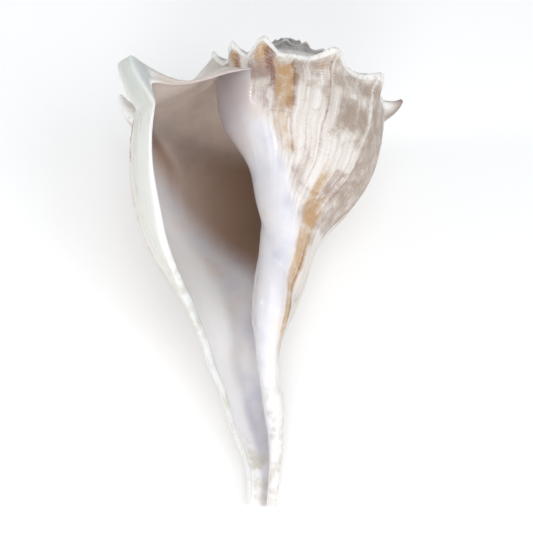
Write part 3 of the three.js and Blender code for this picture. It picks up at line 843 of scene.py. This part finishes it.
# %% Panels round the back
# Here chance draws one set of panels between every two rests, from a fixed seed.
BACK_FROM, BACK_TO = 97, -20
draw = np.random.default_rng(41).uniform
rest_table = np.array(sorted(RESTS))
for start, stop in zip(rest_table, rest_table[1:]):
    if start >= BACK_FROM or stop <= BACK_TO:
        top = draw(4.4, 8.5)
        ochre_stop = start + (stop - start) * draw(0.3, 0.8)
        ochre_bottom = top + draw(0.8, 3)
        OCHRE.append(((start, ochre_stop), (top, ochre_bottom), draw(0.3, 0.9)))
        TAN_AND_SHADE.append(((start, stop), (4.2, draw(5.5, 9)), draw(0.3, 0.9)))
        TAN_AND_SHADE.append(((start, stop), (draw(0.8, 1.6), 3.6), draw(0.4, 0.9)))
        RUST.append(((stop - 2.5, stop + 0.3), (4.3, draw(6, 10)), draw(0.3, 1)))
        MAUVE.append(((start, stop), (draw(9.5, 10.5), draw(11, 13)), draw(0.2, 0.8)))
outer_at, outer_st = azimuths(all_rows), stations(all_rows)
outer_line = growth_line(outer_at, outer_st)
outer_depth, inner_depth, edge_depth = -outer[..., 1], -inner[..., 1], -edge[..., 1]
painted = {}
for name, patches in (("ochre", OCHRE), ("tan_and_shade", TAN_AND_SHADE), ("mauve", MAUVE), ("rust", RUST)):
    total = np.zeros(outer_at.shape)
    for along, across, amount in patches:
        total = np.maximum(total, amount * patch(outer_line, outer_st, along, across))
    painted[name] = total
print(len(OCHRE) + len(TAN_AND_SHADE) + len(MAUVE) + len(RUST), "panels in all")

# %% The gold strip beside the columella
# It runs down by depth, not by station, with a rusty seam along its outer edge.
on_front = (outer_at > -40) & (outer_at < 120)
gold = patch(outer_line, outer_depth, (38, 66), (69, 130), soft=(5, 9)) * on_front
seam = patch(outer_line, outer_depth, (57, 61), (84, 122), soft=(1.5, 6)) * on_front
painted["ochre"] = np.maximum(painted["ochre"], 0.85 * gold)
painted["rust"] = np.maximum(painted["rust"], 0.8 * seam)
print("gold strip on", int((gold > 0.5).sum()), "points")

# %% Rests, keel, weathering and the young lip
# "rest" is the distance to the nearest rest line, in millimetres, up to FAR_FROM_REST.
FAR_FROM_REST, SIDE_RADIUS = 9.0, 50
KEEL_PAINT_OFFSET, KEEL_PAINT_WIDE = 0.1, 0.46
HORN_AZIMUTH, HORN_TURN, HORN_STATIONS = 101, 15, 1.6
k = np.clip(np.searchsorted(rest_table, outer_line), 1, len(rest_table) - 1)
rest_turn = np.minimum(abs(outer_line - rest_table[k - 1]), abs(outer_line - rest_table[k]))
painted["rest"] = np.minimum(np.radians(rest_turn) * SIDE_RADIUS * growth(outer_at), FAR_FROM_REST)
painted["keel"] = np.exp(-((outer_st - SHOULDER - KEEL_PAINT_OFFSET) / KEEL_PAINT_WIDE) ** 2)
old_spire = 1 - ease(outer_at, -330, -150)
by_suture = (1 - ease(outer_st, 1.2, 3.0)) * (1 - ease(outer_at, 40, 90))
painted["grey"] = np.maximum(old_spire, by_suture)
streaks = 0.75 + 0.25 * ripple(outer_line / 2.2, 21) * ripple(outer_st * 3.1, 22)
young_ramp = streaks * ease(outer_line, 285, 300) * (1 - ease(outer_st, 2.6, 3.6))
covered_brown = (1 - ease(outer_at, -150, -60)) * (outer_st > SUTURE)
painted["brown"] = np.maximum(0.9 * covered_brown, 0.75 * young_ramp)
off_horn = np.hypot((outer_at - HORN_AZIMUTH) / HORN_TURN, (outer_st - SHOULDER) / HORN_STATIONS)
painted["horn"] = 1 - ease(off_horn, 0.05, 0.85)
painted["lip"] = ease(outer_line, 282, 300)
print("painted so far:", sorted(painted))

# %% The glaze and its edge
# The shine reaches a little further round the columella than the milky white. Both edges are
# given as depth and place to the right of the apex, in millimetres.
GLOSS_EDGE = [
    (0, -8), (25, -5), (31, -4), (39, -3), (55, 1), (67, 6), (80, 9), (94, 8), (113, 5), (126, 4),
    (140, 5), (180, 7),
]
MILK_EDGE = [
    (0, -22), (25, -19), (33, -15.5), (39, -10), (46, -5.5), (55, -0.5), (67, 4), (80, 7.2), (87, 6),
    (94, 5), (106, 3.4), (117, 2.4), (126, 2.6), (140, 4.5), (180, 6),
]
RESTS_UNDER_MILK = 3
front_face = ease(outer_at, -60, -40) * (1 - ease(outer_at, 90, 120))
front_face = front_face * (all_rows >= front_row)[:, None]
below_suture = (all_rows < front_row)[:, None] & (np.arange(len(columns)) > suture_column)[None, :]
for name, border, soft in (("gloss", GLOSS_EDGE, 4), ("milk", MILK_EDGE, 4.5)):
    beyond = outer[..., 0] - follow(border, outer_depth)
    painted[name] = np.where(below_suture, 1.0, (1 - ease(beyond, -soft, soft)) * front_face)
painted["rest"] += RESTS_UNDER_MILK * painted["milk"]
painted["rim"] = 0.35 * front_face * ease(outer_depth, 116, 136)
painted["umber_and_shade"] = 0.6 * young_ramp
lip_dirt = painted["lip"] * ease(outer_depth, 90, 104)
canal_dirt = front_face * ease(outer_depth, 128, 150)
spine_dirt = patch(outer_line, outer_st, (298, 320), (4.9, 6.0))
painted["dirt"] = np.maximum(np.maximum(lip_dirt, canal_dirt), spine_dirt)
# Painted shade: the mauve grey of the gutter also darkens the callus top under the roof.
painted["gutter_shade"] = painted["milk"] * (1 - ease(outer_depth, 34, 62)) * (1 - ease(outer[..., 0], -22, -6))
spine_face = ease(outer_st, 1.8, 2.8) * (1 - ease(outer_st, 4.6, 6.0))
painted["slate"] = streaks * ease(outer_line, 296, 306) * spine_face
print("glazed:", int((painted["gloss"] > 0.5).sum()), "points of the outer face")

# %% The inside
# BROWN_DOWN_TO gives, by azimuth, the depth down to which the inside is brown.
BROWN_DOWN_TO = [
    (185, 94), (198, 89), (212, 82), (225, 73), (240, 60), (250, 52), (262, 47), (311, 42),
]
below_brown = inner_depth - follow(BROWN_DOWN_TO, inner_at)
on_ramp = (1 - ease(columns, 3.2, 4.2))[None, :]
brown = 1 - ease(below_brown, -11, 11)
brown *= np.maximum(ease(behind_lip, 0.5, 6)[:, None], on_ramp)
# Painted shade: umber darkens the inside further into the cavity and draws a dark line along the fold.
umber_and_shade = np.maximum((1 - ease(inner_at, 198, 252)) * ease(inner_depth, 28, 44), 0.9 * fold)
# Painted shade: the canal's gutter is tinted mauve grey, faint higher up and fuller towards the end; it is
# less glossy there too.
gutter_shade = (1 - ease(inner_at, 221, 237)) * ease(inner_depth, 92, 112)
rim_white = 1 - ease(behind_lip, 2, 16)[:, None] * np.ones(inner_at.shape)
canal_white = ease(inner_at, 224, 241) * ease(below_brown, 2, 24)
rim_white = np.maximum(rim_white, 0.85 * canal_white) * (1 - on_ramp)
inner_dirt = (1 - ease(behind_lip, 1, 7))[:, None] * ease(inner_depth, 92, 106)
on_inner = {
    "gloss": 1 - 0.38 * gutter_shade, "milk": 1.0, "brown": brown, "rest": FAR_FROM_REST,
    "gutter_shade": gutter_shade * (0.06 + 0.3 * ease(inner_depth, 138, 150)), "rim": rim_white, "umber_and_shade": umber_and_shade,
    "dirt": np.maximum(inner_dirt, ease(inner_depth, 150, 165)),
}
print("brown:", int((brown > 0.5).sum()), "points of the inner face")

# %% The edge of the lip
spine_front = ease(columns, 1.8, 3.0) * (1 - ease(columns, 4.6, 6.2))
# On the ramp the lip's edge is darkened with the brown, the umber and the gutter's mauve grey painted
# shade.
on_edge = {
    "gloss": 0.8, "milk": 1.0, "rest": FAR_FROM_REST, "rim": 0.35 * (1 - on_ramp),
    "slate": np.maximum(spine_front, 0.6 * ease(edge_depth, 95, 115)),
    "brown": 0.6 * on_ramp, "umber_and_shade": 0.6 * on_ramp, "gutter_shade": on_ramp,
    "dirt": ease(edge_depth, 90, 104),
}
print("the lip's edge has", edge_depth.size, "points")

# %% The numbers on the corners
# "cord" counts the spiral cords along the profile. Real ones are often finer than a millimetre;
# they are drawn at CORD_SPACING, in millimetres, so that they show.
CORD_SPACING = 1.35
fine_stations = np.linspace(0, END, 721)
profile = [follow(radius_curve, fine_stations), follow(depth_curve, fine_stations)]
arc = np.concatenate([[0], np.cumsum(np.hypot(*np.diff(profile, axis=1)))])


def cords(st):
    """How many cords lie between the suture and a station."""
    return np.interp(st, fine_stations, arc) / CORD_SPACING


paint = {}
for name, value in painted.items():
    inside = np.broadcast_to(on_inner.get(name, 0.0), inner_at.shape)
    rim = np.broadcast_to(on_edge.get(name, 0.0), (LIP_BANDS, len(columns)))
    paint[name] = (value, inside, rim)
edge_share = np.ones((LIP_BANDS, 1))
paint["line"] = (outer_line, inner_at, edge_share * outer_line[-1])
paint["station"] = (outer_st, inner_st, edge_share * outer_st[-1])
paint["cord"] = (cords(outer_st), cords(inner_st), edge_share * cords(outer_st[-1]))
CAP_MIDDLES = {
    "gloss": (1, 0), "milk": (1, 0), "brown": (1, 0), "rest": (FAR_FROM_REST, FAR_FROM_REST),
    "grey": (0, 1), "line": (-200, -913),
}
for name, sheets in paint.items():
    middles = np.array(CAP_MIDDLES.get(name, (0, 0)), float)
    values = np.concatenate([sheet.ravel() for sheet in sheets] + [middles])
    attribute = shell_mesh.attributes.new(name, "FLOAT", "CORNER")
    attribute.data.foreach_set("value", values[corner_of].astype(np.float32))
print("painted:", sorted(paint))

# %% [markdown]
# ## The shell's lime: the dull outside
# Shell is aragonite, laid down in thin sheets. Outside it is chalky, cut by fine spiral cords and
# growth lines, and takes a dull shine. The eye sees a warm white ground with ragged panels of tan,
# ochre, mauve and rust, because the colour lies in the layers and the layers wear away. Painting
# it on a flat picture would need an unwrapped shell, so noise tears the edges of the panels that
# the numbers on the corners give.

# %% Noise along the growth lines and the cords
MIX, NOISE, MAPPED = "ShaderNodeMix", "ShaderNodeTexNoise", "ShaderNodeMapRange"
RAMP = "ShaderNodeValToRGB"
BLOTCH_SIZE, GRAIN_SIZE = 5 * MM, 0.9 * MM
CORD_WANDER, FULL_TURN = 0.5, 2 * math.pi
lime.use_nodes = True
tree = lime.node_tree
place = add(tree, "ShaderNodeTexCoord").outputs["Object"]
amount = {name: add(tree, "ShaderNodeAttribute", attribute_name=name).outputs["Fac"] for name in paint}

streak_place = add(tree, "ShaderNodeCombineXYZ", {0: amount["line"], 1: amount["station"]})
broad = add(tree, "ShaderNodeMapping", {"Vector": streak_place, "Scale": (0.35, 0.22, 1.0)})
broad = add(tree, NOISE, {"Vector": broad, "Scale": 1.0, "Detail": 4.0, "Roughness": 0.6})
fine = add(tree, "ShaderNodeMapping", {"Vector": streak_place, "Scale": (2.4, 0.25, 1.0)})
fine = add(tree, NOISE, {"Vector": fine, "Scale": 1.0, "Detail": 3.0, "Roughness": 0.65})
blotch = add(tree, NOISE, {"Vector": place, "Scale": 1 / BLOTCH_SIZE, "Detail": 5.0, "Roughness": 0.62})
grain = add(tree, NOISE, {"Vector": place, "Scale": 1 / GRAIN_SIZE, "Detail": 3.0})
cord_place = add(tree, MATH, {0: blotch, 1: CORD_WANDER, 2: amount["cord"]}, operation="MULTIPLY_ADD")
cord_wave = add(tree, MATH, {0: cord_place, 1: FULL_TURN}, operation="MULTIPLY")
cord_wave = add(tree, MATH, {0: cord_wave}, operation="SINE")
cord_wave = add(tree, MAPPED, {0: cord_wave, 1: -1.0, 2: 1.0, 3: 0.0, 4: 1.0})
not_lip = add(tree, MATH, {0: 1.0, 1: amount["lip"]}, operation="SUBTRACT")
cord_wave = add(tree, MATH, {0: cord_wave, 1: not_lip}, operation="MULTIPLY")
print("patterns:", len(tree.nodes), "nodes")

# %% Ground colour and panels
# Each tone has its colour and the most of it that a panel may take.
# The tan tone also paints the shade along the right flank.
TONES = (
    ("tan_and_shade", "#937f6f", 0.85), ("mauve", "#8a6b61", 0.8), ("ochre", "#b48d58", 0.9),
    ("rust", "#754a38", 0.9),
)
colour = add(tree, RAMP, {0: broad},
             [(0.32, "#dfdcd9"), (0.5, "#d7d1cb"), (0.62, "#c9c1b9"), (0.75, "#b6a99f")])
ragged = add(tree, MATH, {0: blotch, 1: 1.8, 2: -0.9}, operation="MULTIPLY_ADD")
ragged = add(tree, MATH, {0: fine, 1: 0.6, 2: ragged}, operation="MULTIPLY_ADD")
ragged = add(tree, MATH, {0: cord_wave, 1: 0.14, 2: ragged}, operation="MULTIPLY_ADD")
ragged = add(tree, MATH, {0: ragged, 1: 0.37}, operation="SUBTRACT")
for name, tone, most in TONES:
    share = add(tree, MATH, {0: amount[name], 1: ragged}, operation="ADD")
    share = add(tree, MAPPED, {0: share, 1: 0.15, 2: 1.1, 3: 0.0, 4: most},
                interpolation_type="SMOOTHSTEP")
    colour = add(tree, MIX, {0: share, 6: colour, 7: linear(tone)}, data_type="RGBA")
print("with panels:", len(tree.nodes), "nodes")

# %% Rest lines, painted shade in the grooves, and specks
REST_BROWN, GROOVE_SHADE_GREY, SPECK_BROWN = "#7d5a47", "#9a8d84", "#a8978b"
rest_line = add(tree, MAPPED, {0: amount["rest"], 1: 0.1, 2: 0.7, 3: 0.8, 4: 0.0})
rest_line = add(tree, MATH, {0: rest_line, 1: fine}, operation="MULTIPLY")
colour = add(tree, MIX, {0: rest_line, 6: colour, 7: linear(REST_BROWN)}, data_type="RGBA")
# Painted shade: the grooves between the cords are darkened, more in some patches than in others.
groove_shade = add(tree, MAPPED, {0: cord_wave, 1: 0.0, 2: 0.22, 3: 0.22, 4: 0.0})
groove_shade = add(tree, MATH, {0: groove_shade, 1: not_lip}, operation="MULTIPLY")
kept = add(tree, MAPPED, {0: broad, 1: 0.4, 2: 0.6, 3: 0.25, 4: 1.3})
groove_shade = add(tree, MATH, {0: groove_shade, 1: kept}, operation="MULTIPLY")
colour = add(tree, MIX, {0: groove_shade, 6: colour, 7: linear(GROOVE_SHADE_GREY)}, data_type="RGBA")
speck = add(tree, MAPPED, {0: grain, 1: 0.56, 2: 0.74, 3: 0.0, 4: 0.2})
colour = add(tree, MIX, {0: speck, 6: colour, 7: linear(SPECK_BROWN)}, data_type="RGBA")
print("outside:", len(tree.nodes), "nodes")

# %% [markdown]
# ## Wear, weather and the young lip
# Surf wears the keel and the spines back to bare white lime with small dark pits. The old spire
# has lain in the sun and in mud, so it is grey in layers, and painted shade darkens the crease of
# the suture. The last stretch before the lip is young: pale, with no colour yet. These come one
# over the other, as on the shell.

# %% Worn keel and grey spire
BARE_LIME, PIT_GREY, SUTURE_SHADE, HORN_BROWN = "#e2e1dd", "#8e887d", "#5b5551", "#7d6658"
worn = add(tree, MATH, {0: amount["keel"], 1: ragged}, operation="ADD")
worn = add(tree, MAPPED, {0: worn, 1: 0.35, 2: 0.75, 3: 0.0, 4: 0.9}, interpolation_type="SMOOTHSTEP")
colour = add(tree, MIX, {0: worn, 6: colour, 7: linear(BARE_LIME)}, data_type="RGBA")
pits = add(tree, MAPPED, {0: grain, 1: 0.56, 2: 0.7, 3: 0.0, 4: 0.5})
pits = add(tree, MATH, {0: pits, 1: amount["keel"]}, operation="MULTIPLY")
colour = add(tree, MIX, {0: pits, 6: colour, 7: linear(PIT_GREY)}, data_type="RGBA")
layers = add(tree, MATH, {0: blotch, 1: 0.6, 2: -0.05}, operation="MULTIPLY_ADD")
layers = add(tree, MATH, {0: fine, 1: 0.5, 2: layers}, operation="MULTIPLY_ADD")
weathered = add(tree, RAMP, {0: layers}, [(0.36, "#65615f"), (0.5, "#938f8c"), (0.66, "#c4c0bb")])
grey_share = add(tree, MATH, {0: amount["keel"], 1: -0.45, 2: amount["grey"]}, operation="MULTIPLY_ADD")
grey_share = add(tree, MATH, {0: ragged, 1: 0.5, 2: grey_share}, operation="MULTIPLY_ADD")
grey_share = add(tree, MAPPED, {0: grey_share, 1: 0.0, 2: 1.0, 3: 0.0, 4: 1.0},
                 interpolation_type="SMOOTHSTEP")
colour = add(tree, MIX, {0: grey_share, 6: colour, 7: weathered}, data_type="RGBA")
# Painted shade: the colour darkens towards station 0, in the crease of the suture.
seam_shade = add(tree, MAPPED, {0: amount["station"], 1: 0.0, 2: 0.9, 3: 0.55, 4: 0.0})
colour = add(tree, MIX, {0: seam_shade, 6: colour, 7: linear(SUTURE_SHADE)}, data_type="RGBA")
colour = add(tree, MIX, {0: amount["horn"], 6: colour, 7: linear(HORN_BROWN)}, data_type="RGBA")
young = add(tree, RAMP, {0: fine}, [(0.3, "#dadbd7"), (0.5, "#d2d4ce"), (0.7, "#bcbeb8")])
lip_share = add(tree, MATH, {0: amount["lip"], 1: 0.85}, operation="MULTIPLY")
colour = add(tree, MIX, {0: lip_share, 6: colour, 7: young}, data_type="RGBA")
print("with wear:", len(tree.nodes), "nodes")

# %% [markdown]
# ## The glaze and the brown inside
# The glaze is the same lime in a smooth coat, so it shines like porcelain and looks bluish white
# over the colours below, clouded in patches of a centimetre or two. The gutter and the callus top
# under the roof get a mauve grey painted shade, the rim is whiter, the spine at the lip slate grey,
# and green dirt clings to the canal. Deep in the cavity the lime is brown, with painted shade
# further in and along the fold. All of it is one material with one coat, because the real shell
# has no seam between dull and glazed.

# %% Milky glaze, tints, painted shade and stains
CLOUD_SIZE = 16 * MM
STAIN_GREEN, UMBER_AND_SHADE_BROWN = "#a8a48c", "#a38674"
# The gutter tone is painted shade; the rim's white and the spine's slate are colours of the shell.
GLAZES = (("gutter_shade", "#aca2a7", 0.8), ("rim", "#f8f7f5", 0.9), ("slate", "#abb2b0", 0.85))
milky = add(tree, NOISE, {"Vector": place, "Scale": 1 / CLOUD_SIZE, "Detail": 3.0, "Roughness": 0.55})
milky = add(tree, RAMP, {0: milky},
            [(0.32, "#dcd3ce"), (0.46, "#dfdddf"), (0.58, "#d9d8de"), (0.72, "#cacbd5")])
milk_share = add(tree, MATH, {0: ragged, 1: 0.3, 2: amount["milk"]}, operation="MULTIPLY_ADD")
milk_share = add(tree, MAPPED, {0: milk_share, 1: 0.05, 2: 0.95, 3: 0.0, 4: 0.95},
                 interpolation_type="SMOOTHSTEP")
colour = add(tree, MIX, {0: milk_share, 6: colour, 7: milky}, data_type="RGBA")
for name, tone, most in GLAZES:
    share = add(tree, MATH, {0: amount[name], 1: most}, operation="MULTIPLY")
    colour = add(tree, MIX, {0: share, 6: colour, 7: linear(tone)}, data_type="RGBA")
stain = add(tree, MAPPED, {0: blotch, 1: 0.44, 2: 0.62, 3: 0.0, 4: 0.5})
stain = add(tree, MATH, {0: stain, 1: amount["dirt"]}, operation="MULTIPLY")
colour = add(tree, MIX, {0: stain, 6: colour, 7: linear(STAIN_GREEN)}, data_type="RGBA")
deep = add(tree, RAMP, {0: blotch}, [(0.3, "#d2c6bd"), (0.7, "#c8bab0")])
# Umber is partly brown on the young ramp and partly painted shade deep inside and along the fold.
deep = add(tree, MIX, {0: amount["umber_and_shade"], 6: deep, 7: linear(UMBER_AND_SHADE_BROWN)}, data_type="RGBA")
colour = add(tree, MIX, {0: amount["brown"], 6: colour, 7: deep}, data_type="RGBA")
print("with glaze:", len(tree.nodes), "nodes")

# %% Shine, fine relief and a little light through the wall
# Chalk scatters the light and the glaze mirrors it, so the roughness falls with the gloss. Cords
# and grain are finer than the mesh, so they are the only relief that is left to bump. Thin shell
# lets light in and out again some millimetres away, which softens the shade inside the lip.
CHALK_ROUGH, GLAZE_ROUGH, ARAGONITE_IOR = 0.5, 0.11, 1.53
CHALK_BUMP, GLAZE_BUMP, BUMP_HIGH = 0.45, 0.1, 0.25 * MM
LIGHT_THROUGH, THROUGH_TINT, THROUGH_REACH = 0.7, (1.0, 0.95, 0.9), 6.0 * MM
shine = add(tree, MAPPED, {0: amount["gloss"], 1: 0.0, 2: 1.0, 3: CHALK_ROUGH, 4: GLAZE_ROUGH})
height = add(tree, MATH, {0: cord_wave, 1: 0.45, 2: fine}, operation="MULTIPLY_ADD")
height = add(tree, MATH, {0: grain, 1: 0.35, 2: height}, operation="MULTIPLY_ADD")
strength = add(tree, MAPPED, {0: milk_share, 1: 0.0, 2: 0.95, 3: CHALK_BUMP, 4: GLAZE_BUMP})
bump = add(tree, "ShaderNodeBump", {"Height": height, "Strength": strength, "Distance": BUMP_HIGH})
coat = tree.nodes["Principled BSDF"]
for socket, value in (("Base Color", colour), ("Roughness", shine), ("Normal", bump)):
    tree.links.new(next(o for o in value.outputs if o.enabled), coat.inputs[socket])
coat.inputs["IOR"].default_value = ARAGONITE_IOR
coat.inputs["Subsurface Weight"].default_value = LIGHT_THROUGH
coat.inputs["Subsurface Radius"].default_value = THROUGH_TINT
coat.inputs["Subsurface Scale"].default_value = THROUGH_REACH
shell_mesh.materials.append(lime)
print(lime.name, "-", len(tree.nodes), "nodes")

# %% [markdown]
# ## Floor and light
# A shell like this is shown on white paper under soft light. A bright sky all round keeps the
# shadows open, and four round softboxes give it form: one from above, a small one from the left
# like a window, one from the right and one low in front that looks into the opening. A single
# sun would be simpler, but its hard shadow would hide the inside.

# %% Floor
FLOOR_HALF = 3.0
floor_mesh = bpy.data.meshes.new("floor")
floor_corners = [(x * FLOOR_HALF, y * FLOOR_HALF, 0) for x, y in ((-1, -1), (1, -1), (1, 1), (-1, 1))]
floor_mesh.from_pydata(floor_corners, [], [(0, 1, 2, 3)])
floor = bpy.data.objects.new("floor", floor_mesh)
bpy.context.collection.objects.link(floor)
floor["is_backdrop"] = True
# Paper is matt and nearly white, so it gives the eye nothing but the soft shadow.
paper = bpy.data.materials.new("pale paper")
paper.use_nodes = True
paper_shader = paper.node_tree.nodes["Principled BSDF"]
paper_shader.inputs["Base Color"].default_value = linear("#fafaf9")
paper_shader.inputs["Roughness"].default_value = 0.9
floor_mesh.materials.append(paper)
print("floor:", 2 * FLOOR_HALF, "m wide")

# %% Light
SKY_COLOUR, SKY_STRENGTH = "#f2f4f8", 0.64
world = bpy.data.worlds.new("studio")
world.use_nodes = True
bpy.context.scene.world = world
world.node_tree.nodes["Background"].inputs["Color"].default_value = linear(SKY_COLOUR)
world.node_tree.nodes["Background"].inputs["Strength"].default_value = SKY_STRENGTH
bpy.context.scene.view_settings.view_transform = "Standard"

# Each softbox has its place and its aim in metres, its width in metres and its power in watts.
SOFTBOXES = {
    "key": ((0.0, -0.2, 0.85), (0, 0, 0.04), 0.5, 1.3),
    "window": ((-0.72, -0.03, 0.42), (0, 0.03, 0.06), 0.16, 1.3),
    "side": ((0.6, -0.35, 0.65), (0, 0, 0.04), 0.6, 2.6),
    "fill": ((-0.05, -0.75, 0.35), (0, 0.05, 0.04), 0.4, 2.6),
}
for name, (stand, aim, width, power) in SOFTBOXES.items():
    light = bpy.data.lights.new(name, "AREA")
    light.shape = "DISK"
    light.size = width
    light.energy = power
    lamp = bpy.data.objects.new(name, light)
    bpy.context.collection.objects.link(lamp)
    lamp.location = stand
    lamp.rotation_euler = (Vector(aim) - Vector(stand)).to_track_quat("-Z", "Y").to_euler()
print("softboxes:", list(SOFTBOXES))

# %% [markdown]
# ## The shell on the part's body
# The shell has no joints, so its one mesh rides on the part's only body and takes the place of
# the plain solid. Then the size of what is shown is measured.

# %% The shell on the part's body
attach(shell, "root")
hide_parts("shell")
low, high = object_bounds()
print("visual box in mm:", [round((b - a) / MM, 1) for a, b in zip(low, high)])
